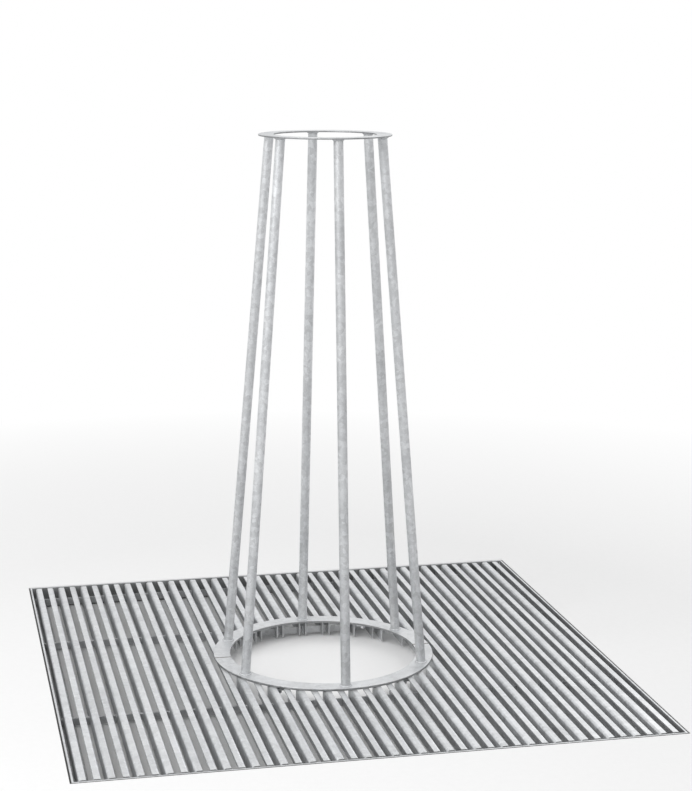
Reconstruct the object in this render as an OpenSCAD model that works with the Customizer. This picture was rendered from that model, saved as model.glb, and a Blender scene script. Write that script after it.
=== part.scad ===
// Tree guard: six leaning rods between a split base ring and a top ring,
// standing on a square slatted grate that drops into an angle pit frame.
// X runs along the front edge, Y to the rear, Z up. The origin is the middle of the frame's underside.

/* [Pit frame] */
// Outer side of the square frame
frame_side = 1500; // [1450:10:1600]
// Height of the folded angle, which is also the height of the grate's top
frame_h = 47; // [46:1:60]
// Width of the ledge that carries the grate, from the outer face to the inner edge
ledge_w = 47; // [44:1:60]
// Plate thickness of the folded angle
frame_t = 5; // [4:0.5:6]
// Outer bend radius of the folded angle
frame_bend_r = 8; // [7:0.5:9]
// Diameter of the anchor holes in the ledge
anchor_d = 11; // [9:1:12]
// Distance of the anchor holes from the frame's outer face
anchor_inset = 33; // [31:1:34]

/* [Slats] */
// Number of slat pairs in each half of the grate
pairs_per_half = 11; // [9:1:11]
// Width of a slat's flange, seen from above
slat_flange = 18; // [16:0.5:22]
// Plate thickness of a folded slat
slat_t = 4; // [3:0.5:4.5]
// Outer bend radius of a folded slat
slat_bend_r = 6; // [5:0.5:6.5]
// Drain slot between the two flanges of a pair
slot_w = 17; // [14:0.5:20]
// Margin left beside the slat pattern at each side of the frame
pattern_margin = 4; // [2:0.5:8]
// Gap between a slat's end and the frame
slat_end_gap = 7; // [4:0.5:10]

/* [Carrier bars] */
// Height of the flat bars that tie the slats together
bar_h = 20; // [16:1:22]
// Thickness of the flat bars
bar_t = 5; // [4:0.5:6]
// Gap between a bar's end and the frame
bar_end_gap = 5; // [3.5:0.5:8]
// Gap between the bar ends of the left and right halves
half_gap = 3; // [1:0.5:6]
// Distance from the edge of the opening to the middle of the inner bars
bar_setback = 18; // [14:1:40]
// Gap between the outer bars and the ledge
bar_ledge_gap = 0.5; // [0.3:0.1:3]
// Side clearance of a bar in its notch
notch_gap = 0.2; // [0.1:0.05:0.5]

/* [Base ring] */
// Diameter of the opening cut in the slats
opening_d = 550; // [500:10:580]
// How far the ring reaches inward over the opening
ring_overhang = 20; // [10:1:24]
// Width of the ring's plate
ring_w = 45; // [40:1:70]
// Thickness of the ring's plate
ring_t = 6; // [4:0.5:8]
// Gap at the joint between the two ring halves
ring_split_gap = 2; // [0.5:0.25:3]

/* [Guard] */
// Height of the guard's top face above the grate
guard_h = 1417; // [1200:1:1800]
// Number of leaning rods
rods = 6; // [6]
// Diameter of a rod
rod_d = 25; // [16:1:30]
// Bearing of the first rod, from the X axis
first_rod_angle = 30; // [30]
// Inner diameter of the top ring
top_ring_d = 270; // [220:10:340]
// Width of the top ring's plate
top_ring_w = 40; // [34:1:60]
// Thickness of the top ring's plate
top_ring_t = 4; // [3:0.5:8]

/* [Clamps] */
// Diameter of the studs welded under the base ring
stud_d = 8; // [6:1:8]
// Length of a stud below its nut
stud_tail = 2; // [1:0.5:2.5]
// Thickness of a clamp plate
clamp_t = 5; // [4:0.5:5.5]
// Length of a clamp plate along the slats
clamp_len = 18; // [14:1:24]
// Gap between a clamp plate's end and the slat's web
clamp_end_gap = 2.5; // [2.5:0.5:4]
// Clearance of a stud in its plate and washer
stud_gap = 0.5; // [0.2:0.1:0.8]
// Outer diameter of a washer
washer_d = 16; // [14:0.5:17]
// Thickness of a washer
washer_t = 1.6; // [1:0.1:2]
// Width of a nut across its flats
nut_af = 13; // [11:0.5:14]
// Height of a nut
nut_h = 6.5; // [5:0.5:7]
// Clearance of a nut's bore around its stud
thread_gap = 0.1; // [0.05:0.05:0.2]

/* [Hidden] */
$fn = 96;
cut = 1;

ledge_top = frame_t;
inside_half = frame_side / 2 - frame_t;
slat_depth = frame_h - ledge_top;
pitch = (inside_half - pattern_margin) / pairs_per_half;
pair_half_w = slot_w / 2 + slat_flange;
slat_end = inside_half - slat_end_gap;
anchor_x = (pairs_per_half - 2) * pitch + pitch / 2;
anchor_y = frame_side / 2 - anchor_inset;

opening_r = opening_d / 2;
bar_top = ledge_top + bar_h;
bar_start = half_gap / 2;
bar_end = inside_half - bar_end_gap;
inner_bar_y = opening_r + bar_setback;
outer_bar_y = frame_side / 2 - ledge_w - bar_ledge_gap - bar_t / 2;

ring_in_r = opening_r - ring_overhang;
ring_out_r = ring_in_r + ring_w;
ring_top = frame_h + ring_t;
foot_r = ring_in_r + ring_w / 2;
guard_top = frame_h + guard_h;
rod_top = guard_top - top_ring_t;
head_r = (top_ring_d + top_ring_w) / 2;
rod_run = rod_top - ring_top;
rod_lean = atan((foot_r - head_r) / rod_run);

stud_circle_r = (opening_r + ring_out_r) / 2;
clamp_top = frame_h - slat_t;
clamp_w = slot_w + 2 * (slat_flange - slat_t - clamp_end_gap);
washer_top = clamp_top - clamp_t;
nut_top = washer_top - washer_t;
stud_bottom = nut_top - nut_h - stud_tail;
stud_slot = 3;
stud_xs = [for (s = [-1, 1]) s * (stud_slot - 0.5) * pitch];

SIDES = [["front", 0], ["right", 90], ["rear", 180], ["left", 270]];
HALVES = [["left", -1], ["right", 1]];
ROWS = [
    ["front_outer", -outer_bar_y],
    ["front_inner", -inner_bar_y],
    ["rear_inner", inner_bar_y],
    ["rear_outer", outer_bar_y]
];

function two_digits(n) = n < 10 ? str("0", n) : str(n);
function frame_name(s) = str("frame_side_", s[0]);
function bar_name(h, r) = str(h[0], "_carrier_", r[0]);
function slats_name(h, i) = str(h[0], "_slats_", two_digits(i));
function rod_name(i) = str("guard_rod_", i);

// Section of a folded angle with its outer corner at the origin and its legs along +X and +Y
module folded_angle(leg_x, leg_y, plate_t, bend_r) {
    translate([bend_r, 0]) square([leg_x - bend_r, plate_t]);
    translate([0, bend_r]) square([plate_t, leg_y - bend_r]);
    intersection() {
        square(bend_r);
        translate([bend_r, bend_r]) difference() {
            circle(bend_r);
            circle(bend_r - plate_t);
        }
    }
}

// Straight length of a section, drawn in X and Z, that runs from y0 to y1
module along_y(y0, y1) {
    translate([0, y1, 0]) rotate([90, 0, 0]) linear_extrude(y1 - y0) children();
}

// One mitred side of the pit frame, with two anchor holes in its ledge
module frame_side_part(s) {
    half = frame_side / 2;
    color("gainsboro") rotate([0, 0, s[1]]) difference() {
        intersection() {
            translate([-half, -half, 0]) rotate([90, 0, 90])
                linear_extrude(frame_side) folded_angle(ledge_w, frame_h, frame_t, frame_bend_r);
            translate([0, 0, -cut]) linear_extrude(frame_h + 2 * cut)
                polygon([[-half, -half], [half, -half], [0, 0]]);
        }
        for (x = [-anchor_x, anchor_x])
            translate([x, -anchor_y, -cut]) cylinder(d = anchor_d, h = frame_t + 2 * cut);
    }
}

// Flat bar of one half and one row, lying on the side ledge
module carrier_bar(h, r) {
    x0 = h[1] < 0 ? -bar_end : bar_start;
    color("silver") translate([x0, r[1] - bar_t / 2, ledge_top])
        cube([bar_end - bar_start, bar_t, bar_h]);
}

// Distance from the middle line at which a slat whose inner edge is at x meets the opening
function cut_y(x) = x < opening_r ? sqrt(pow(opening_r, 2) - pow(x, 2)) : 0;

// One folded slat: its flange starts at x0 and its web is at the side that dir points to
module slat(x0, dir) {
    inner_x = min(abs(x0), abs(x0 + dir * slat_flange));
    stop = cut_y(inner_x);
    runs = stop > 0 ? [[-slat_end, -stop], [stop, slat_end]] : [[-slat_end, slat_end]];
    difference() {
        for (run = runs) translate([x0, 0, 0]) mirror([dir < 0 ? 1 : 0, 0, 0])
            along_y(run[0], run[1]) translate([slat_flange, frame_h]) rotate(180)
                folded_angle(slat_flange, slat_depth, slat_t, slat_bend_r);
        for (r = ROWS) bar_notch(x0, dir, r[1]);
    }
}

// Notch from below for one carrier bar
module bar_notch(x0, dir, y) {
    w = bar_t + 2 * notch_gap;
    translate([dir > 0 ? x0 : x0 - slat_flange - cut, y - w / 2, ledge_top - cut])
        cube([slat_flange + cut, w, bar_h + cut]);
}

// Two mirrored slats on either side of a drain slot, counted from the middle of the grate
module slat_pair(h, i) {
    slot_x = h[1] * ((i - 1) * pitch + pitch / 2);
    color("gainsboro") for (dir = [-1, 1]) slat(slot_x + dir * slot_w / 2, dir);
}

// Half of the base ring: side -1 is the front half and 1 the rear half
module base_ring_half(side) {
    color("lightgray") translate([0, 0, frame_h]) intersection() {
        difference() {
            cylinder(r = ring_out_r, h = ring_t);
            translate([0, 0, -cut]) cylinder(r = ring_in_r, h = ring_t + 2 * cut);
        }
        translate([-ring_out_r, side < 0 ? -ring_out_r - ring_split_gap / 2 : ring_split_gap / 2, 0])
            cube([2 * ring_out_r, ring_out_r, ring_t]);
    }
}

module base_ring_front() { base_ring_half(-1); }
module base_ring_rear() { base_ring_half(1); }

// Leaning rod, cut level where it stands on the base ring and meets the top ring
module guard_rod(i) {
    color("lightgray") rotate([0, 0, first_rod_angle + (i - 1) * 360 / rods]) intersection() {
        translate([foot_r, 0, ring_top]) rotate([0, -rod_lean, 0])
            translate([0, 0, -rod_d]) cylinder(d = rod_d, h = rod_run / cos(rod_lean) + 2 * rod_d);
        translate([0, -rod_d, ring_top]) cube([foot_r + rod_d, 2 * rod_d, rod_run]);
    }
}

module top_ring() {
    color("lightgray") translate([0, 0, rod_top]) difference() {
        cylinder(d = top_ring_d + 2 * top_ring_w, h = top_ring_t);
        translate([0, 0, -cut]) cylinder(d = top_ring_d, h = top_ring_t + 2 * cut);
    }
}

// Places its children at each stud, in the third drain slot from the middle on each side
module at_studs() {
    for (x = stud_xs, side = [-1, 1])
        translate([x, side * sqrt(pow(stud_circle_r, 2) - pow(x, 2)), 0]) children();
}

module ring_studs() {
    color("silver") at_studs() translate([0, 0, stud_bottom]) cylinder(d = stud_d, h = frame_h - stud_bottom);
}

// Plates that bridge the slot under the two flanges
module clamp_plates() {
    color("silver") at_studs() translate([0, 0, washer_top]) difference() {
        translate([-clamp_w / 2, -clamp_len / 2, 0]) cube([clamp_w, clamp_len, clamp_t]);
        translate([0, 0, -cut]) cylinder(d = stud_d + 2 * stud_gap, h = clamp_t + 2 * cut);
    }
}

module clamp_washers() {
    color("silver") at_studs() translate([0, 0, nut_top]) difference() {
        cylinder(d = washer_d, h = washer_t);
        translate([0, 0, -cut]) cylinder(d = stud_d + 2 * stud_gap, h = washer_t + 2 * cut);
    }
}

module clamp_nuts() {
    color("silver") at_studs() translate([0, 0, nut_top - nut_h]) difference() {
        cylinder(d = nut_af / cos(30), h = nut_h, $fn = 6);
        translate([0, 0, -cut]) cylinder(d = stud_d + 2 * thread_gap, h = nut_h + 2 * cut);
    }
}

for (s = SIDES) frame_side_part(s);
for (h = HALVES, r = ROWS) carrier_bar(h, r);
for (h = HALVES, i = [1 : pairs_per_half]) slat_pair(h, i);
base_ring_front();
base_ring_rear();
for (i = [1 : rods]) guard_rod(i);
top_ring();
ring_studs();
clamp_plates();
clamp_washers();
clamp_nuts();
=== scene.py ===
"""Finishes a tree guard on its slatted grate.

Zinc-coated steel, weld seams, threaded clamps and a plain studio.
"""

import math

import bmesh
import bpy
from bpy.props import FloatProperty, FloatVectorProperty, PointerProperty
from mathutils import Matrix, Vector, noise


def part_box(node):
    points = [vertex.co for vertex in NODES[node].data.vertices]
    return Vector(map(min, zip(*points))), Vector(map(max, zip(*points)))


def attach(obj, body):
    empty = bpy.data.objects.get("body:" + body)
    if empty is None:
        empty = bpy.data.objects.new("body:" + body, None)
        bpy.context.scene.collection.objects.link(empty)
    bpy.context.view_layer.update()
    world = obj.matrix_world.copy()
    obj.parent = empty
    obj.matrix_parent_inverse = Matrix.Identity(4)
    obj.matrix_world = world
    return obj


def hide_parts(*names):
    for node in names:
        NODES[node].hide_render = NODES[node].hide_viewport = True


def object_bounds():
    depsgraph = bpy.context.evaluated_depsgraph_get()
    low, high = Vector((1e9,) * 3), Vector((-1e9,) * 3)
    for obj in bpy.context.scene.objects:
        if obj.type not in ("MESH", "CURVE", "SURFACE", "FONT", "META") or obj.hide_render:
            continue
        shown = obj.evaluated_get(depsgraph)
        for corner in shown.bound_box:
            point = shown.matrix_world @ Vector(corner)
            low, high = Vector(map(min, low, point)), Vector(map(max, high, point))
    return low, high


bl_info = {
    "name": "Tree guard and grate",
    "version": (1, 0, 0),
    "blender": (4, 5, 0),
    "location": "3D View > Sidebar > Tree guard",
    "description": "Finishes the tree guard, its slatted grate and the pit frame",
    "category": "Object",
}

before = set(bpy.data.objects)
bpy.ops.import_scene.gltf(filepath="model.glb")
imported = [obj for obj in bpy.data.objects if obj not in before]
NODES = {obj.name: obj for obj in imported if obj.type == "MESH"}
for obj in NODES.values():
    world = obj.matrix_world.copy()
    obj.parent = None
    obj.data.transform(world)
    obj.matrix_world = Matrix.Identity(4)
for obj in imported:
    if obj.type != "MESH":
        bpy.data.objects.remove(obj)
CAD_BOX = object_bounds()
BODY = "root"

FRAME_SIDES = sorted(n for n in NODES if n.startswith("frame_side_"))
CARRIERS = sorted(n for n in NODES if "_carrier_" in n)
SLATS = sorted(n for n in NODES if "_slats_" in n)
RODS = sorted(n for n in NODES if n.startswith("guard_rod_"))
BASE_RINGS = ["base_ring_front", "base_ring_rear"]
GRATE_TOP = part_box(SLATS[0])[1].z
FRAME_HALF = CAD_BOX[1].x
# Points that lie nearer than this in height are level with each other
SAME_HEIGHT = 1e-5


class TreeGuardSizes(bpy.types.PropertyGroup):
    """Sizes of the edges, weld seams and threads."""

    plate_edge: FloatProperty(
        name="Plate edge", description="Rounding on the edges of the plates",
        default=0.0006, min=0.0001, max=0.002, unit="LENGTH")
    rod_weld: FloatProperty(
        name="Rod weld", description="Leg length of the weld seam around a rod's end",
        default=0.0036, min=0.001, max=0.006, unit="LENGTH")
    bar_weld: FloatProperty(
        name="Carrier weld", description="Leg length of the seams between carrier bars and slats",
        default=0.0028, min=0.001, max=0.005, unit="LENGTH")
    corner_weld: FloatProperty(
        name="Corner weld", description="Leg length of the seam inside a corner of the pit frame",
        default=0.0026, min=0.001, max=0.003, unit="LENGTH")
    ripple_pitch: FloatProperty(
        name="Ripple pitch", description="Distance between the ripples of a weld seam",
        default=0.0021, min=0.001, max=0.004, unit="LENGTH")
    thread_pitch: FloatProperty(
        name="Thread pitch", description="Pitch of the clamp studs' thread",
        default=0.00125, min=0.0008, max=0.002, unit="LENGTH")
    nut_chamfer: FloatProperty(
        name="Nut chamfer", description="Share of a nut's half width left flat inside its chamfer",
        default=0.94, min=0.85, max=1.0, subtype="FACTOR")


class TreeGuardColours(bpy.types.PropertyGroup):
    """Colours and grain of the zinc coating."""

    zinc: FloatVectorProperty(
        name="Zinc", description="Colour of clean zinc",
        default=(0.66, 0.672, 0.685), min=0.0, max=1.0, size=3, subtype="COLOR")
    dull_zinc: FloatVectorProperty(
        name="Dull zinc", description="Colour of weathered zinc",
        default=(0.48, 0.493, 0.507), min=0.0, max=1.0, size=3, subtype="COLOR")
    # Used for dust, and also for painted shade in corners and in the roots of the welds
    dust_and_shade: FloatVectorProperty(
        name="Dust and shade", description="Colour of the dust that settles low in the grate",
        default=(0.20, 0.19, 0.17), min=0.0, max=1.0, size=3, subtype="COLOR")
    bright_zinc: FloatVectorProperty(
        name="Bright zinc", description="Colour of the plated fasteners",
        default=(0.70, 0.71, 0.725), min=0.0, max=1.0, size=3, subtype="COLOR")
    crystal: FloatProperty(
        name="Crystal size", description="Size of a zinc crystal",
        default=0.013, min=0.004, max=0.04, unit="LENGTH")


class TreeGuardStage(bpy.types.PropertyGroup):
    """Floor, lights and camera."""

    floor_colour: FloatVectorProperty(
        name="Floor", description="Colour of the paving and of the pit under the grate",
        default=(0.93, 0.93, 0.93), min=0.0, max=1.0, size=3, subtype="COLOR")
    joint_colour: FloatVectorProperty(
        name="Joint filling", description="Colour of the sand in the joint round the pit frame",
        default=(0.06, 0.06, 0.06), min=0.0, max=1.0, size=3, subtype="COLOR")
    floor_gap: FloatProperty(
        name="Joint", description="Joint between the pit frame and the paving",
        default=0.0045, min=0.001, max=0.01, unit="LENGTH")
    floor_reach: FloatProperty(
        name="Floor reach", description="Distance from the guard to the floor's edge",
        default=40.0, min=5.0, max=100.0, unit="LENGTH")
    ambient: FloatProperty(
        name="Ambient", description="Strength of the even light from all round",
        default=0.55, min=0.0, max=2.0)
    key_power: FloatProperty(
        name="Key light", description="Power of the large light above and to the left",
        default=195.0, min=0.0, max=2000.0, subtype="POWER")
    fill_power: FloatProperty(
        name="Fill light", description="Power of the light behind and to the right",
        default=48.0, min=0.0, max=2000.0, subtype="POWER")
    lamp_size: FloatProperty(
        name="Lamp size", description="Side of each square lamp",
        default=4.4, min=0.5, max=10.0, unit="LENGTH")
    camera_place: FloatVectorProperty(
        name="Camera", description="Place of the camera, from the middle of the grate's underside",
        default=(-1.0530, -4.7802, 1.7684), size=3, subtype="TRANSLATION", unit="LENGTH")
    camera_turn: FloatVectorProperty(
        name="Camera turn", description="Turn to the right, tilt downward and roll of the camera",
        default=(0.21154, 0.18271, 0.003333), size=3, subtype="EULER", unit="ROTATION")
    camera_lens: FloatProperty(
        name="Lens", description="Focal length of the camera",
        default=84.94, min=10.0, max=300.0, unit="CAMERA")
    camera_shift: FloatVectorProperty(
        name="Shift", description="Shift of the camera's frame to the right and upward",
        default=(0.03976, -0.04488), size=2)


def sizes():
    return bpy.context.scene.tree_guard_sizes


def colours():
    return bpy.context.scene.tree_guard_colours


def stage_values():
    return bpy.context.scene.tree_guard_stage


# Meshes

EDGE_SEGMENTS = 2
# Edges that turn less than this, as on a bend or a round hole, stay as they are
EDGE_FROM_ANGLE = math.radians(60)
# Corners nearer than this share of the rounding are joined first
JOIN_SHARE = 1 / 50


def node_points(name):
    """Corner points of a CAD node's mesh."""
    return [v.co.copy() for v in NODES[name].data.vertices]


def on_level(point):
    """The point's place on the level through the origin."""
    return Vector((point.x, point.y, 0))


def new_piece(name, points, faces, material, smooth=True):
    """Adds a mesh that belongs to the part, with the material that it is given."""
    mesh = bpy.data.meshes.new(name)
    mesh.from_pydata([tuple(p) for p in points], [], faces)
    mesh.validate()
    shape = bmesh.new()
    shape.from_mesh(mesh)
    bmesh.ops.recalc_face_normals(shape, faces=shape.faces)
    shape.to_mesh(mesh)
    shape.free()
    mesh.polygons.foreach_set("use_smooth", [smooth] * len(mesh.polygons))
    mesh.materials.append(material)
    piece = bpy.data.objects.new(name, mesh)
    bpy.context.scene.collection.objects.link(piece)
    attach(piece, BODY)
    return piece


def skin(points, faces, rings, closed):
    """Joins rings of points into a tube, with caps at its ends unless it is closed."""
    start = len(points)
    around = len(rings[0])
    for ring in rings:
        points.extend(ring)
    spans = len(rings) if closed else len(rings) - 1
    for i in range(spans):
        this_ring = start + i * around
        next_ring = start + (i + 1) % len(rings) * around
        for j in range(around):
            k = (j + 1) % around
            faces.append((this_ring + j, this_ring + k, next_ring + k, next_ring + j))
    if not closed:
        last_ring = start + (len(rings) - 1) * around
        faces.append(tuple(start + j for j in reversed(range(around))))
        faces.append(tuple(last_ring + j for j in range(around)))


def round_edges(node, width):
    """Rounds the sharp edges of a CAD node with modifiers, so its mesh stays as it is."""
    piece = NODES[node]
    weld = piece.modifiers.new("Join corners", "WELD")
    weld.merge_threshold = width * JOIN_SHARE
    bevel = piece.modifiers.new("Round edges", "BEVEL")
    bevel.width = width
    bevel.segments = EDGE_SEGMENTS
    bevel.limit_method = "ANGLE"
    bevel.angle_limit = EDGE_FROM_ANGLE
    bevel.loop_slide = False
    bevel.harden_normals = True


def finish_node(node, material, edge=0.0):
    """Gives a CAD node its material and its rounded edges."""
    piece = NODES[node]
    for place in piece.material_slots:
        place.material = material
    if edge > 0:
        round_edges(node, edge)


# Weld seams

# The outer points of a section go round from just under one plate to just inside the other
SEAM_ANGLES = [math.radians(a) for a in (-8, 12, 32, 52, 72, 98)]
# 0 gives a round section and 1 a flat one
SEAM_BULGE = 0.55
# The root of a section lies inside the corner
SEAM_ROOT_SHARE = -0.35
SEAM_RIPPLE_SHARE = 0.16
SEAM_RIPPLE_CREST = 0.4
SEAM_WANDER_SHARE = 0.10
SEAM_WANDER_RIPPLES = 3
# Sections for each ripple
ROD_SEAM_STEPS = 4
BAR_SEAM_STEPS = 3
SEAM_FEWEST_STEPS = 4
# Size of a seam's ends, and the fifth of its length in which it tapers to them
SEAM_END_SHARE = 0.35
SEAM_TAPER = 5


def seam_ring(at, side, up, leg, along, pitch, seed):
    """One section of a fillet seam in the corner between two faces that side and up lie in."""
    ripple = 1 + SEAM_RIPPLE_SHARE * (1 - 2 * abs(along / pitch % 1.0 - SEAM_RIPPLE_CREST))
    wander_at = Vector((along / pitch / SEAM_WANDER_RIPPLES, seed, 0))
    wander = 1 + SEAM_WANDER_SHARE * noise.noise(wander_at)
    ring = []
    for angle in SEAM_ANGLES:
        c = math.cos(angle)
        s = math.sin(angle)
        reach = leg * ripple * wander / (abs(c) + abs(s)) ** SEAM_BULGE
        ring.append(at + side * (c * reach) + up * (s * reach))
    ring.append(at + (side + up) * (leg * SEAM_ROOT_SHARE))
    return ring


def outward_and_across(point):
    """Level directions away from the guard's middle and across to that."""
    radial = on_level(point).normalized()
    return radial, Vector((-radial.y, radial.x, 0))


def rod_ends(name):
    """Middle of a rod's foot and of its head, and its radius."""
    points = node_points(name)
    low = min(p.z for p in points)
    high = max(p.z for p in points)
    foot_points = [p for p in points if p.z < low + SAME_HEIGHT]
    head_points = [p for p in points if p.z > high - SAME_HEIGHT]
    foot = sum(foot_points, Vector()) / len(foot_points)
    head = sum(head_points, Vector()) / len(head_points)
    across = outward_and_across(foot)[1]
    radius = max((p - foot).dot(across) for p in foot_points)
    return foot, head, radius


def rod_seam(points, faces, middle, axis, radius, leg, pitch, seed):
    """Seam around a rod's end, where axis points from the plate into the rod."""
    radial, across = outward_and_across(middle)
    long_radius = radius / abs(axis.z)
    ripples = round(math.tau * radius / pitch)
    steps = round(math.tau * radius / pitch * ROD_SEAM_STEPS)
    rings = []
    for i in range(steps):
        turn = math.tau * i / steps
        c = math.cos(turn)
        s = math.sin(turn)
        at = middle + radial * (c * long_radius) + across * (s * radius)
        side = (radial * (c * radius) + across * (s * long_radius)).normalized()
        along = turn / math.tau * ripples * pitch
        rings.append(seam_ring(at, side, axis, leg, along, pitch, seed))
    skin(points, faces, rings, closed=True)


def straight_seam(points, faces, start, end, side, up, leg, pitch, seed):
    """Short seam from start to end, tapered at both ends."""
    length = (end - start).length
    steps = max(SEAM_FEWEST_STEPS, round(length / pitch * BAR_SEAM_STEPS))
    rings = []
    for i in range(steps + 1):
        share = i / steps
        full = min(1.0, SEAM_TAPER * min(share, 1 - share))
        taper = SEAM_END_SHARE + (1 - SEAM_END_SHARE) * full
        at = start.lerp(end, share)
        rings.append(seam_ring(at, side, up, leg * taper, share * length, pitch, seed))
    skin(points, faces, rings, closed=False)


# Node trees

# Sockets of a Mix node for colours
MIX_FACTOR, MIX_FIRST, MIX_SECOND, MIX_COLOUR = 0, 6, 7, 2
# Most values of a noise lie between these
MOST_NOISE = (0.3, 0.7)
MIDDLE_NOISE = (0.35, 0.65)


class Nodes:
    """Short calls for building the node tree of a material or of the world."""

    def __init__(self, owner, output="ShaderNodeOutputMaterial"):
        self.owner = owner
        owner.use_nodes = True
        self.tree = owner.node_tree
        self.tree.nodes.clear()
        self.output = self.tree.nodes.new(output)

    def add(self, kind, inputs=None, **values):
        """Adds a node; inputs that are sockets are linked, and other inputs are set."""
        made = self.tree.nodes.new(kind)
        for key, value in values.items():
            setattr(made, key, value)
        for key, value in (inputs or {}).items():
            if isinstance(value, bpy.types.NodeSocket):
                self.tree.links.new(value, made.inputs[key])
            else:
                made.inputs[key].default_value = value
        return made

    def maths(self, operation, first, second=0.0):
        return self.add("ShaderNodeMath", {0: first, 1: second}, operation=operation).outputs[0]

    def plus(self, first, second):
        return self.maths("ADD", first, second)

    def times(self, first, *others):
        for other in others:
            first = self.maths("MULTIPLY", first, other)
        return first

    def spread(self, value, low, high, to_low=0.0, to_high=1.0):
        """Maps low to high onto to_low to to_high, and holds the value there."""
        made = self.add("ShaderNodeMapRange", {
            "Value": value, "From Min": low, "From Max": high,
            "To Min": to_low, "To Max": to_high})
        return made.outputs["Result"]

    def noise(self, where, scale=1.0, detail=4.0, rough=0.6):
        made = self.add("ShaderNodeTexNoise", {
            "Vector": where, "Scale": scale, "Detail": detail, "Roughness": rough})
        return made.outputs["Fac"]

    def vector(self, operation, inputs, output=0):
        return self.add("ShaderNodeVectorMath", inputs, operation=operation).outputs[output]

    def stretch(self, where, scales):
        made = self.add("ShaderNodeMapping", {"Vector": where, "Scale": scales})
        return made.outputs["Vector"]

    def part_of(self, vector, axis):
        return self.add("ShaderNodeSeparateXYZ", {"Vector": vector}).outputs[axis]

    def place(self):
        return self.add("ShaderNodeTexCoord").outputs["Object"]

    def openness(self, distance, samples):
        """How open a point is: 1 on open faces and less in corners."""
        made = self.add("ShaderNodeAmbientOcclusion", {"Distance": distance}, samples=samples)
        return made.outputs["AO"]

    def grey(self, value):
        made = self.add("ShaderNodeCombineColor", {"Red": value, "Green": value, "Blue": value})
        return made.outputs["Color"]

    def blend(self, factor, first, second, how="MIX"):
        made = self.add(
            "ShaderNodeMix", {MIX_FACTOR: factor, MIX_FIRST: first, MIX_SECOND: second},
            data_type="RGBA", blend_type=how, clamp_factor=True)
        return made.outputs[MIX_COLOUR]

    def shaded(self, colour, tone):
        """A colour made lighter or darker by a tone around 1."""
        return self.blend(1.0, colour, self.grey(tone), "MULTIPLY")

    def bump(self, height, strength, distance):
        made = self.add("ShaderNodeBump", {
            "Height": height, "Strength": strength, "Distance": distance})
        return made.outputs["Normal"]

    def seen(self):
        """1 for the rays that show a thing to the camera, also in metal or through glass."""
        path = self.add("ShaderNodeLightPath").outputs
        return self.plus(self.plus(path["Is Camera Ray"], path["Is Glossy Ray"]),
                         path["Is Transmission Ray"])

    def finish(self, inputs):
        """Ends the material in a shader with these inputs."""
        shader = self.add("ShaderNodeBsdfPrincipled", inputs)
        self.end_in(shader.outputs["BSDF"])

    def end_in(self, shader):
        self.tree.links.new(shader, self.output.inputs["Surface"])


def with_alpha(colour):
    return (*colour[:3], 1.0)


# Zinc

# Each piece takes its pattern from another place, up to this far away
PATTERN_APART = 17.0

# Scales and widths of the pattern, counted in crystals
CROOK_SCALE = 0.6
CROOK_REACH = 0.9
FACET_SCALE = 3.1
BORDER_WIDTH = 0.05
STREAK_SCALES = (9, 9, 0.9)
GRAIN_SCALE = 9

# Darkest and lightest tone of each
CRYSTAL_TONES = (0.86, 1.08)
FACET_TONES = (0.96, 1.04)
GRAIN_TONES = (0.96, 1.03)
BORDER_TONES = (0.96, 1.0)
STREAK_TONES = (0.90, 1.07)
PIECE_TONES = (0.92, 1.06)

PATCH_SCALE = 6.5
PATCH_NOISE = (0.36, 0.66)
RUN_SCALES = (38.0, 38.0, 2.2)
RUN_NOISE = (0.42, 0.72)
RUN_MOST = 0.45
DULL_MOST = 0.62

# Change of roughness between crystals and streaks, where it is weathered, where it is trodden, and
# under the dust and the painted corner shade
ROUGH_SPREAD = 0.07
ROUGH_STREAKS = 0.03
ROUGH_WEATHERED = 0.12
ROUGH_TRODDEN = 0.22
ROUGH_DUST_AND_SHADE = 0.3

TRODDEN_SCALE = 14.0
TRODDEN_NOISE = (0.3, 0.6)
TRODDEN_LEAST = 0.3
TRODDEN_FROM = 0.8
TRODDEN_BRIGHTER = 1.16
# A face counts as upright below the first and as flat above the second
UPRIGHT_TO_FLAT = (0.3, 0.7)

LOW_DUST_MOST = 0.32
CORNER_REACH = 0.012
CORNER_SAMPLES = 6
# Painted shade in the corners begins at the first openness and is darkest at the second
CORNER_OPEN = (0.75, 0.15)
CORNER_SHADE_MOST = 0.75
BLOTCH_SCALE = 24.0
BLOTCH_LEAST = 0.45
# The dust in the joint of the base ring: how ragged it is and how far it is thick, in its widths
JOINT_SCALE = 220.0
JOINT_RAGGED = 0.4
JOINT_SOLID = 0.3
JOINT_DUST_MOST = 0.95

# Share of each in the relief's height
RELIEF_GRAIN = 0.6
RELIEF_FACETS = 0.25
RELIEF_BORDERS = 0.25
RELIEF_STREAKS = 0.5
ZINC_BUMP = (0.2, 0.0006)
ZINC_METALLIC = 0.7


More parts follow.
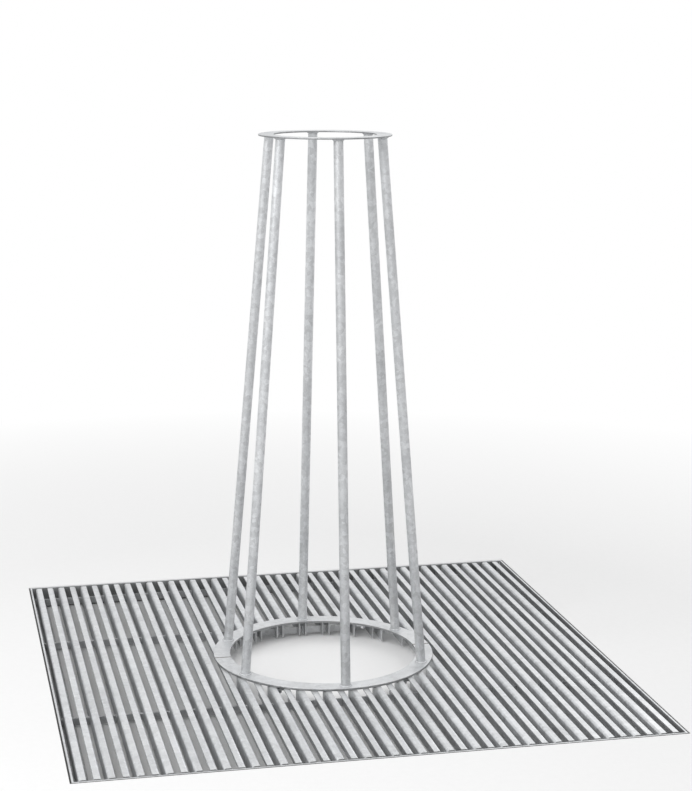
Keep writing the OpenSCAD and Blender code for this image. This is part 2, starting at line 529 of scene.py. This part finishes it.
class Crystals:
    """Zinc crystals with crooked borders, facets and feathery streaks, on one material.

    The streaks run another way in each crystal.
    """

    def __init__(self, n, where, size):
        self.grain = n.noise(where, GRAIN_SCALE / size)
        crook = n.add("ShaderNodeTexNoise", {
            "Vector": where, "Scale": CROOK_SCALE / size, "Detail": 2.0}).outputs["Color"]
        crook = n.vector("SCALE", {0: crook, "Scale": size * CROOK_REACH})
        where = n.vector("ADD", {0: where, 1: crook})
        cells = n.add("ShaderNodeTexVoronoi", {"Vector": where, "Scale": 1 / size})
        facets = n.add("ShaderNodeTexVoronoi", {"Vector": where, "Scale": FACET_SCALE / size})
        edges = n.add("ShaderNodeTexVoronoi", {"Vector": where, "Scale": 1 / size},
                      feature="DISTANCE_TO_EDGE")
        self.tone, self.gloss, turn = n.add(
            "ShaderNodeSeparateColor", {"Color": cells.outputs["Color"]}).outputs
        self.facet_tone, self.facet_height, _ = n.add(
            "ShaderNodeSeparateColor", {"Color": facets.outputs["Color"]}).outputs
        self.inside = n.spread(edges.outputs["Distance"], 0.0, BORDER_WIDTH)
        axis = n.vector("SUBTRACT", {0: cells.outputs["Color"], 1: (0.5, 0.5, 0.5)})
        turned = n.add("ShaderNodeVectorRotate", {
            "Vector": where, "Axis": axis, "Angle": n.times(turn, math.tau)}).outputs["Vector"]
        stretched = n.stretch(turned, [s / size for s in STREAK_SCALES])
        self.streak = n.noise(stretched, rough=0.65)

    def shade(self, n):
        """Tone of the zinc, around 1."""
        return n.times(
            n.spread(self.tone, 0.0, 1.0, *CRYSTAL_TONES),
            n.spread(self.facet_tone, 0.0, 1.0, *FACET_TONES),
            n.spread(self.grain, *MOST_NOISE, *GRAIN_TONES),
            n.spread(self.inside, 0.0, 1.0, *BORDER_TONES),
            n.spread(self.streak, *MOST_NOISE, *STREAK_TONES))

    def roughness(self, n, rough):
        """Roughness around a middle value."""
        return n.plus(n.spread(self.gloss, 0.0, 1.0, rough - ROUGH_SPREAD, rough + ROUGH_SPREAD),
                      n.spread(self.streak, *MOST_NOISE, -ROUGH_STREAKS, ROUGH_STREAKS))

    def relief(self, n):
        """Height for the bump."""
        height = n.plus(n.times(self.grain, RELIEF_GRAIN),
                        n.times(self.facet_height, RELIEF_FACETS))
        height = n.plus(height, n.times(self.inside, RELIEF_BORDERS))
        return n.plus(height, n.times(self.streak, RELIEF_STREAKS))


def weathered_share(n, where):
    """Dull patches and long runs down the steel."""
    patch = n.noise(where, PATCH_SCALE, detail=5.0, rough=0.62)
    run = n.noise(n.stretch(where, RUN_SCALES))
    return n.maths("MAXIMUM", n.spread(patch, *PATCH_NOISE),
                   n.spread(run, *RUN_NOISE, 0.0, RUN_MOST))


def trodden_share(n, place, upward, most):
    """Upward faces that shoes keep bright."""
    worn = n.spread(n.noise(place, TRODDEN_SCALE), *TRODDEN_NOISE, TRODDEN_LEAST, 1.0)
    return n.times(n.spread(upward, TRODDEN_FROM, 1.0), worn, most)


def dust_and_shade_share(n, place, dust_top, dust_depth, joint_dust):
    """Dust low down and in the joint of the base ring, and painted shade in the corners."""
    low = n.spread(n.part_of(place, "Z"), dust_top, dust_top - dust_depth, 0.0, LOW_DUST_MOST)
    # Painted shade: corners that the ambient occlusion finds closed in are made darker
    corner = n.spread(n.openness(CORNER_REACH, CORNER_SAMPLES), *CORNER_OPEN,
                      0.0, CORNER_SHADE_MOST)
    blotch = n.spread(n.noise(place, BLOTCH_SCALE, detail=5.0, rough=0.65), *MOST_NOISE,
                      BLOTCH_LEAST, 1.0)
    # This share holds the real dust low down together with the painted corner shade
    dust = n.times(n.maths("MAXIMUM", low, corner), blotch)
    if joint_dust:
        ragged = n.spread(n.noise(place, JOINT_SCALE), *MOST_NOISE,
                          0.0, joint_dust * JOINT_RAGGED)
        beside = n.plus(n.maths("ABSOLUTE", n.part_of(place, "Y")), ragged)
        in_joint = n.spread(beside, joint_dust, joint_dust * JOINT_SOLID, 0.0, JOINT_DUST_MOST)
        dust = n.maths("MAXIMUM", dust, in_joint)
    return dust


def zinc_material(name, crystal_size, rough, dust_top, dust_depth, worn_top,
                  dull_edges=0.0, joint_dust=0.0):
    """Hot-dip zinc with crystals, dull patches and runs, worn tops, dust and painted shade.

    Dust thins out from dust_depth below dust_top up to it, and upward faces are polished by
    worn_top. Upright faces, which on a flat plate are its cut edges, are darkened by the share
    given for the edges: partly duller cut zinc, partly painted shade. Corners get painted shade
    too.
    A line of dust lies up to joint_dust from the guard's cross middle, where the halves of the
    base ring meet.
    """
    n = Nodes(bpy.data.materials.new(name))
    clean = colours().zinc
    place = n.place()
    piece = n.add("ShaderNodeObjectInfo").outputs["Random"]
    own_place = n.vector("ADD", {0: place, 1: n.grey(n.times(piece, PATTERN_APART))})
    crystals = Crystals(n, own_place, crystal_size)
    weathered = weathered_share(n, own_place)
    tone = n.times(crystals.shade(n), n.spread(piece, 0.0, 1.0, *PIECE_TONES))
    base = n.blend(n.times(weathered, DULL_MOST), with_alpha(clean),
                   with_alpha(colours().dull_zinc))
    base = n.shaded(base, tone)
    roughness = n.plus(crystals.roughness(n, rough), n.times(weathered, ROUGH_WEATHERED))

    upward = n.part_of(n.add("ShaderNodeNewGeometry").outputs["Normal"], "Z")
    trodden = trodden_share(n, place, upward, worn_top)
    worn_zinc = [min(1.0, c * TRODDEN_BRIGHTER) for c in clean]
    base = n.blend(trodden, base, with_alpha(worn_zinc))
    roughness = n.maths("SUBTRACT", roughness, n.times(trodden, ROUGH_TRODDEN))
    # Painted shade, partly duller cut zinc: upright faces are made darker than flat ones
    if dull_edges:
        flat = n.maths("ABSOLUTE", upward)
        base = n.shaded(base, n.spread(flat, *UPRIGHT_TO_FLAT, 1 - dull_edges, 1.0))

    # Dust, and painted shade in the corners, darken the base colour here
    dust = dust_and_shade_share(n, place, dust_top, dust_depth, joint_dust)
    base = n.blend(dust, base, with_alpha(colours().dust_and_shade))
    roughness = n.plus(roughness, n.times(dust, ROUGH_DUST_AND_SHADE))
    n.finish({"Base Color": base, "Roughness": roughness, "Metallic": ZINC_METALLIC,
              "Normal": n.bump(crystals.relief(n), *ZINC_BUMP)})
    return n.owner


SEAM_CLOUD_SCALE = 160.0
SEAM_CLOUD_MOST = 0.7
SEAM_GRAIN_SCALE = 900.0
SEAM_CORNER_REACH = 0.006
SEAM_CORNER_OPEN = (0.8, 0.2)
SEAM_SHADE_MOST = 0.6
SEAM_ROUGH = (0.46, 0.68)
SEAM_METALLIC = 0.6
SEAM_BUMP = (0.25, 0.0003)


def seam_material(name):
    """Weld metal under zinc: duller and rougher than the plates, clouded, with painted shade in
    the root.
    """
    n = Nodes(bpy.data.materials.new(name))
    place = n.place()
    cloud = n.spread(n.noise(place, SEAM_CLOUD_SCALE), *MIDDLE_NOISE, 0.0, SEAM_CLOUD_MOST)
    grain = n.noise(place, SEAM_GRAIN_SCALE, detail=3.0)
    base = n.blend(cloud, with_alpha(colours().dull_zinc), with_alpha(colours().zinc))
    # Painted shade in the root of the seam, made darker where the ambient occlusion finds it
    # closed in
    dust = n.spread(n.openness(SEAM_CORNER_REACH, CORNER_SAMPLES), *SEAM_CORNER_OPEN,
                    0.0, SEAM_SHADE_MOST)
    base = n.blend(dust, base, with_alpha(colours().dust_and_shade))
    n.finish({"Base Color": base, "Roughness": n.spread(grain, *MOST_NOISE, *SEAM_ROUGH),
              "Metallic": SEAM_METALLIC, "Normal": n.bump(grain, *SEAM_BUMP)})
    return n.owner


PLATED_CLOUD_SCALE = 220.0
PLATED_ROUGH = (0.24, 0.38)
PLATED_METALLIC = 0.9
PLATED_BUMP = (0.1, 0.0002)


def plated_material(name):
    """Bright zinc plating of the fasteners, with a faint cloudiness."""
    n = Nodes(bpy.data.materials.new(name))
    cloud = n.noise(n.place(), PLATED_CLOUD_SCALE, rough=0.55)
    base = n.blend(n.spread(cloud, *MIDDLE_NOISE),
                   with_alpha(colours().bright_zinc), with_alpha(colours().zinc))
    n.finish({"Base Color": base, "Roughness": n.spread(cloud, *MOST_NOISE, *PLATED_ROUGH),
              "Metallic": PLATED_METALLIC, "Normal": n.bump(cloud, *PLATED_BUMP)})
    return n.owner


def made_material(name, maker, **values):
    """The material of that name, made the first time that it is asked for."""
    return bpy.data.materials.get(name) or maker(name, **values)


# The rods' zinc has smaller crystals than the plates'
ROD_CRYSTAL_SHARE = 0.8
GUARD_DUST_TOP = GRATE_TOP + 0.22
GUARD_DUST_DEPTH = 0.75
RING_DUST_DEPTH = 1.2


def grate_zinc():
    return made_material("Grate zinc", zinc_material,
                         crystal_size=colours().crystal, rough=0.44,
                         dust_top=GRATE_TOP - 0.002, dust_depth=0.046, worn_top=0.5)


# The frame's upright faces get painted shade from the edge share
def pit_frame_zinc():
    return made_material("Pit frame zinc", zinc_material,
                         crystal_size=colours().crystal, rough=0.46,
                         dust_top=GRATE_TOP - 0.001, dust_depth=0.030, worn_top=0.3,
                         dull_edges=0.45)


def rod_zinc():
    return made_material("Guard zinc", zinc_material,
                         crystal_size=colours().crystal * ROD_CRYSTAL_SHARE, rough=0.40,
                         dust_top=GUARD_DUST_TOP, dust_depth=GUARD_DUST_DEPTH, worn_top=0.15)


# The ring's cut edges are darker: partly duller cut zinc, partly painted shade
def base_ring_zinc():
    return made_material("Base ring zinc", zinc_material,
                         crystal_size=colours().crystal, rough=0.42,
                         dust_top=GUARD_DUST_TOP, dust_depth=RING_DUST_DEPTH, worn_top=0.45,
                         dull_edges=0.5, joint_dust=0.006)


# The ring's cut edges are darker: partly duller cut zinc, partly painted shade
def top_ring_zinc():
    return made_material("Top ring zinc", zinc_material,
                         crystal_size=colours().crystal, rough=0.42,
                         dust_top=GUARD_DUST_TOP, dust_depth=RING_DUST_DEPTH, worn_top=0.15,
                         dull_edges=0.5)


def seam_zinc():
    return made_material("Weld zinc", seam_material)


def plated_zinc():
    return made_material("Plated zinc", plated_material)


# Operators

def frame_inside():
    """Distance from the middle to the inner face of the pit frame's upright leg."""
    top = [p for p in node_points("frame_side_front") if p.z > GRATE_TOP - SAME_HEIGHT]
    return min(abs(p.y) for p in top)


class TREEGUARD_OT_pit_frame(bpy.types.Operator):
    """Finish the four mitred sides of the pit frame and weld their corners"""

    bl_idname = "tree_guard.pit_frame"
    bl_label = "Pit frame"

    def execute(self, context):
        s = sizes()
        for node in FRAME_SIDES:
            finish_node(node, pit_frame_zinc(), s.plate_edge)
        ledge_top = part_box(SLATS[0])[0].z
        seam_top = GRATE_TOP - s.corner_weld
        inside = frame_inside()
        points, faces = [], []
        for sx in (-1, 1):
            for sy in (-1, 1):
                x, y = sx * inside, sy * inside
                straight_seam(points, faces, Vector((x, y, ledge_top)), Vector((x, y, seam_top)),
                              Vector((-sx, 0, 0)), Vector((0, -sy, 0)),
                              s.corner_weld, s.ripple_pitch, sx + 2 * sy)
        new_piece("frame_corner_welds", points, faces, seam_zinc())
        return {"FINISHED"}


class TREEGUARD_OT_slats(bpy.types.Operator):
    """Finish the folded slats of the grate"""

    bl_idname = "tree_guard.slats"
    bl_label = "Slats"

    def execute(self, context):
        for node in SLATS:
            finish_node(node, grate_zinc(), sizes().plate_edge)
        return {"FINISHED"}


class TREEGUARD_OT_carriers(bpy.types.Operator):
    """Finish the carrier bars and weld them to the slats"""

    bl_idname = "tree_guard.carriers"
    bl_label = "Carrier bars"

    def execute(self, context):
        for node in CARRIERS:
            finish_node(node, grate_zinc(), sizes().plate_edge)
        for half in ("left", "right"):
            points, faces = [], []
            slats = [n for n in SLATS if n.startswith(half)]
            bars = [n for n in CARRIERS if n.startswith(half)]
            for i, slat in enumerate(slats):
                for j, bar in enumerate(bars):
                    self.weld_crossing(points, faces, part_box(slat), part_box(bar), 10 * i + j)
            new_piece(half + "_carrier_welds", points, faces, seam_zinc())
        return {"FINISHED"}

    def weld_crossing(self, points, faces, slat_box, bar_box, seed):
        """Four upright seams where a bar meets the outer webs of a pair of slats."""
        s = sizes()
        low = bar_box[0].z + s.bar_weld
        high = bar_box[1].z - s.bar_weld / 2
        for x, sx in ((slat_box[0].x, -1), (slat_box[1].x, 1)):
            for y, sy in ((bar_box[0].y, -1), (bar_box[1].y, 1)):
                straight_seam(points, faces, Vector((x, y, low)), Vector((x, y, high)),
                              Vector((sx, 0, 0)), Vector((0, sy, 0)),
                              s.bar_weld, s.ripple_pitch, seed + sx + sy)


class TREEGUARD_OT_rings(bpy.types.Operator):
    """Finish the two halves of the base ring and the top ring"""

    bl_idname = "tree_guard.rings"
    bl_label = "Rings"

    def execute(self, context):
        for node in BASE_RINGS:
            finish_node(node, base_ring_zinc(), sizes().plate_edge)
        finish_node("top_ring", top_ring_zinc(), sizes().plate_edge)
        return {"FINISHED"}


class TREEGUARD_OT_rods(bpy.types.Operator):
    """Finish the leaning rods and weld them to both rings"""

    bl_idname = "tree_guard.rods"
    bl_label = "Guard rods"

    def execute(self, context):
        s = sizes()
        for i, node in enumerate(RODS):
            finish_node(node, rod_zinc())
            foot, head, radius = rod_ends(node)
            axis = (head - foot).normalized()
            points, faces = [], []
            for end, into_rod, seed in ((foot, axis, i), (head, -axis, i + 10)):
                rod_seam(points, faces, end, into_rod, radius, s.rod_weld, s.ripple_pitch, seed)
            new_piece(node + "_welds", points, faces, seam_zinc())
        return {"FINISHED"}


# Points around the stud, and rings for each turn of its thread
THREAD_SIDES = 18
THREAD_STEPS = 6
THREAD_DEPTH_SHARE = 0.61
TIP_SLOPE = 1.2
NUT_SIDES = 48
NUT_CHAMFER_SLOPE = math.tan(math.radians(30))
BORE_CHAMFER = 0.0004
# Points this near to a stud on the level belong to its clamp
STUD_NEAR = 0.012


def stud_places():
    """Middle of each clamp stud."""
    studs = []
    for point in map(on_level, node_points("ring_studs")):
        stud = next((s for s in studs if (s[0] - point).length < STUD_NEAR), None)
        if stud:
            stud.append(point)
        else:
            studs.append([point])
    middles = []
    for stud in studs:
        xs = [p.x for p in stud]
        ys = [p.y for p in stud]
        middles.append(Vector(((min(xs) + max(xs)) / 2, (min(ys) + max(ys)) / 2, 0)))
    return middles


def near_points(node, place):
    """Points of a node that belong to the clamp at a place, on the level."""
    points = map(on_level, node_points(node))
    return [p for p in points if (p - place).length < STUD_NEAR]


def stud_rings(at, radius, low, high, pitch):
    """Rings of a stud with a helical thread and a chamfered tip."""
    depth = pitch * THREAD_DEPTH_SHARE
    steps = round((high - low) / pitch * THREAD_STEPS)
    rings = []
    for i in range(steps + 1):
        up = (high - low) * i / steps
        tip = min(radius, radius + (up - depth) * TIP_SLOPE)
        ring = []
        for j in range(THREAD_SIDES):
            turn = math.tau * j / THREAD_SIDES
            wave = abs((up / pitch - j / THREAD_SIDES) % 1.0 * 2 - 1)
            r = min(tip, radius - depth * (1 - wave))
            ring.append(at + Vector((math.cos(turn) * r, math.sin(turn) * r, low + up)))
        rings.append(ring)
    return rings


def nut_rings(at, half_width, bore, low, high, flat_share):
    """Rings of a hexagon nut from its bore outward and back, chamfered on both faces."""
    flat = half_width * flat_share
    rings = [[] for _ in range(6)]
    for j in range(NUT_SIDES):
        turn = math.tau * j / NUT_SIDES
        from_flat = (turn + math.pi / 6) % (math.pi / 3) - math.pi / 6
        hexagon = half_width / math.cos(from_flat)
        drop = (hexagon - flat) * NUT_CHAMFER_SLOPE
        way = Vector((math.cos(turn), math.sin(turn), 0))
        section = ((bore, low + BORE_CHAMFER), (flat, low), (hexagon, low + drop),
                   (hexagon, high - drop), (flat, high), (bore, high - BORE_CHAMFER))
        for ring, (r, z) in zip(rings, section):
            ring.append(at + way * r + Vector((0, 0, z)))
    return rings


class TREEGUARD_OT_clamps(bpy.types.Operator):
    """Finish the clamps: threaded studs, chamfered nuts, washers and plates"""

    bl_idname = "tree_guard.clamps"
    bl_label = "Clamps"

    def execute(self, context):
        s = sizes()
        for node in ("clamp_plates", "clamp_washers"):
            finish_node(node, plated_zinc(), s.plate_edge / 2)
        places = stud_places()
        stud_low, stud_high = (p.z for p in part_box("ring_studs"))
        nut_low, nut_high = (p.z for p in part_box("clamp_nuts"))
        first = places[0]
        radius = max((p - first).length for p in near_points("ring_studs", first))
        half_width = max(abs(p.y - first.y) for p in near_points("clamp_nuts", first))
        studs, stud_faces, nuts, nut_faces = [], [], [], []
        for at in places:
            thread = stud_rings(at, radius, stud_low, stud_high, s.thread_pitch)
            skin(studs, stud_faces, thread, closed=False)
            nut = nut_rings(at, half_width, radius, nut_low, nut_high, s.nut_chamfer)
            skin(nuts, nut_faces, nut, closed=True)
        stud_piece = new_piece("threaded_studs", studs, stud_faces, plated_zinc())
        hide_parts("ring_studs")
        nut_piece = new_piece("chamfered_nuts", nuts, nut_faces, plated_zinc(),
                              smooth=False)
        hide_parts("clamp_nuts")
        return {"FINISHED"}


# Stage

# The floor fades to white between these distances from the middle
FADE = (1.2, 3.2)
PAVING_GRAIN_SCALE = 60.0
PAVING_TONES = (0.985, 1.0)
PAVING_ROUGH = 0.85
SAND_GRAIN_SCALE = 700.0
SAND_TONES = (0.7, 1.2)
SAND_ROUGH = 0.95
UNDER_FRAME = 0.0005
JOINT_SUNK = 0.002
JOINT_CLEAR = 0.0003
# Four faces join each square of the floor to the next, and the third four are the joint's sand
SAND_FACES = slice(8, 12)
KEY_PLACE, KEY_AIM = (-3.2, -2.6, 4.2), (0, 0, 0.4)
FILL_PLACE, FILL_AIM = (3.4, 2.4, 3.4), (0, 0, 0.5)
FILM_WIDTH = 36


def floor_material():
    """Plain pale floor that fades to the white of the background far away."""
    n = Nodes(bpy.data.materials.new("Pale floor"))
    place = n.place()
    far = n.vector("LENGTH", {0: place}, "Value")
    grain = n.noise(place, PAVING_GRAIN_SCALE)
    colour = n.shaded(with_alpha(stage_values().floor_colour),
                      n.spread(grain, *MOST_NOISE, *PAVING_TONES))
    shader = n.add("ShaderNodeBsdfPrincipled", {"Base Color": colour, "Roughness": PAVING_ROUGH})
    white = n.add("ShaderNodeEmission", {"Color": (1, 1, 1, 1), "Strength": 1.0})
    share = n.times(n.spread(far, *FADE), n.seen())
    mix = n.add("ShaderNodeMixShader", {
        0: share, 1: shader.outputs["BSDF"], 2: white.outputs["Emission"]})
    n.end_in(mix.outputs["Shader"])
    return n.owner


def joint_material():
    """Dark sand in the joint round the pit frame."""
    n = Nodes(bpy.data.materials.new("Joint sand"))
    grain = n.noise(n.place(), SAND_GRAIN_SCALE, detail=3.0)
    colour = n.shaded(with_alpha(stage_values().joint_colour),
                      n.spread(grain, *MOST_NOISE, *SAND_TONES))
    n.finish({"Base Color": colour, "Roughness": SAND_ROUGH})
    return n.owner


def square(half, z):
    return [Vector((x * half, y * half, z)) for x, y in ((-1, -1), (1, -1), (1, 1), (-1, 1))]


def make_floor():
    """Paving flush with the grate, with a pit for the frame and a sanded joint round it."""
    v = stage_values()
    pit = FRAME_HALF + v.floor_gap
    inside = FRAME_HALF + JOINT_CLEAR
    sand = GRATE_TOP - JOINT_SUNK
    rings = [square(v.floor_reach, GRATE_TOP), square(pit, GRATE_TOP), square(pit, sand),
             square(inside, sand), square(inside, CAD_BOX[0].z - UNDER_FRAME)]
    points = [p for ring in rings for p in ring]
    faces = []
    for first in range(0, len(points) - 4, 4):
        for i in range(4):
            j = (i + 1) % 4
            faces.append((first + i, first + j, first + 4 + j, first + 4 + i))
    faces.append(tuple(range(len(points) - 4, len(points))))
    mesh = bpy.data.meshes.new("floor")
    mesh.from_pydata([tuple(p) for p in points], [], faces)
    mesh.materials.append(floor_material())
    mesh.materials.append(joint_material())
    for face in mesh.polygons[SAND_FACES]:
        face.material_index = 1
    floor = bpy.data.objects.new("floor", mesh)
    bpy.context.scene.collection.objects.link(floor)


def area_light(name, place, aim, power):
    light = bpy.data.lights.new(name, "AREA")
    light.shape = "SQUARE"
    light.size = stage_values().lamp_size
    light.energy = power
    lamp = bpy.data.objects.new(name, light)
    lamp.location = place
    lamp.rotation_mode = "QUATERNION"
    lamp.rotation_quaternion = (Vector(aim) - Vector(place)).to_track_quat("-Z", "Y")
    bpy.context.scene.collection.objects.link(lamp)


def make_world():
    """Even white light, and plain white wherever the background is seen or mirrored."""
    n = Nodes(bpy.data.worlds.new("Studio"), "ShaderNodeOutputWorld")
    strength = n.spread(n.seen(), 0.0, 1.0, stage_values().ambient, 1.0)
    background = n.add("ShaderNodeBackground", {
        "Color": (1.0, 1.0, 1.0, 1.0), "Strength": strength})
    n.end_in(background.outputs["Background"])
    bpy.context.scene.world = n.owner


def make_camera():
    """Camera at the viewpoint of the photograph."""
    v = stage_values()
    turn, tilt, roll = v.camera_turn
    ahead = Vector((math.sin(turn) * math.cos(tilt), math.cos(turn) * math.cos(tilt),
                    -math.sin(tilt)))
    right = Vector((math.cos(turn), -math.sin(turn), 0))
    up = right.cross(ahead)
    rolled_right = right * math.cos(roll) + up * math.sin(roll)
    rolled_up = up * math.cos(roll) - right * math.sin(roll)
    data = bpy.data.cameras.new("Camera")
    data.lens = v.camera_lens
    data.sensor_width = FILM_WIDTH
    data.shift_x, data.shift_y = v.camera_shift
    camera = bpy.data.objects.new("Camera", data)
    axes = Matrix((rolled_right, rolled_up, -ahead)).transposed()
    camera.matrix_world = Matrix.Translation(v.camera_place) @ axes.to_4x4()
    bpy.context.scene.collection.objects.link(camera)
    bpy.context.scene.camera = camera


class TREEGUARD_OT_stage(bpy.types.Operator):
    """Make the floor, the lights and the camera"""

    bl_idname = "tree_guard.stage"
    bl_label = "Stage"

    def execute(self, context):
        v = stage_values()
        make_floor()
        make_world()
        area_light("Key light", KEY_PLACE, KEY_AIM, v.key_power)
        area_light("Fill light", FILL_PLACE, FILL_AIM, v.fill_power)
        make_camera()
        context.scene.view_settings.view_transform = "Standard"
        return {"FINISHED"}


class TREEGUARD_PT_panel(bpy.types.Panel):
    """Steps that finish the tree guard"""

    bl_idname = "TREEGUARD_PT_panel"
    bl_label = "Tree guard"
    bl_space_type = "VIEW_3D"
    bl_region_type = "UI"
    bl_category = "Tree guard"

    def draw(self, context):
        for step in OPERATORS:
            self.layout.operator(step.bl_idname)
        for group in (sizes(), colours(), stage_values()):
            box = self.layout.box()
            for name in group.__annotations__:
                box.prop(group, name)


OPERATORS = (
    TREEGUARD_OT_stage,
    TREEGUARD_OT_pit_frame,
    TREEGUARD_OT_slats,
    TREEGUARD_OT_carriers,
    TREEGUARD_OT_rings,
    TREEGUARD_OT_rods,
    TREEGUARD_OT_clamps,
)
GROUPS = {
    "tree_guard_sizes": TreeGuardSizes,
    "tree_guard_colours": TreeGuardColours,
    "tree_guard_stage": TreeGuardStage,
}


def register():
    for name, group in GROUPS.items():
        bpy.utils.register_class(group)
        setattr(bpy.types.Scene, name, PointerProperty(type=group))
    for step in OPERATORS:
        bpy.utils.register_class(step)
    bpy.utils.register_class(TREEGUARD_PT_panel)


def unregister():
    bpy.utils.unregister_class(TREEGUARD_PT_panel)
    for step in reversed(OPERATORS):
        bpy.utils.unregister_class(step)
    for name, group in GROUPS.items():
        delattr(bpy.types.Scene, name)
        bpy.utils.unregister_class(group)


def main():
    register()
    bpy.ops.tree_guard.stage()
    bpy.ops.tree_guard.pit_frame()
    bpy.ops.tree_guard.slats()
    bpy.ops.tree_guard.carriers()
    bpy.ops.tree_guard.rings()
    bpy.ops.tree_guard.rods()
    bpy.ops.tree_guard.clamps()


if __name__ == "__main__":
    main()
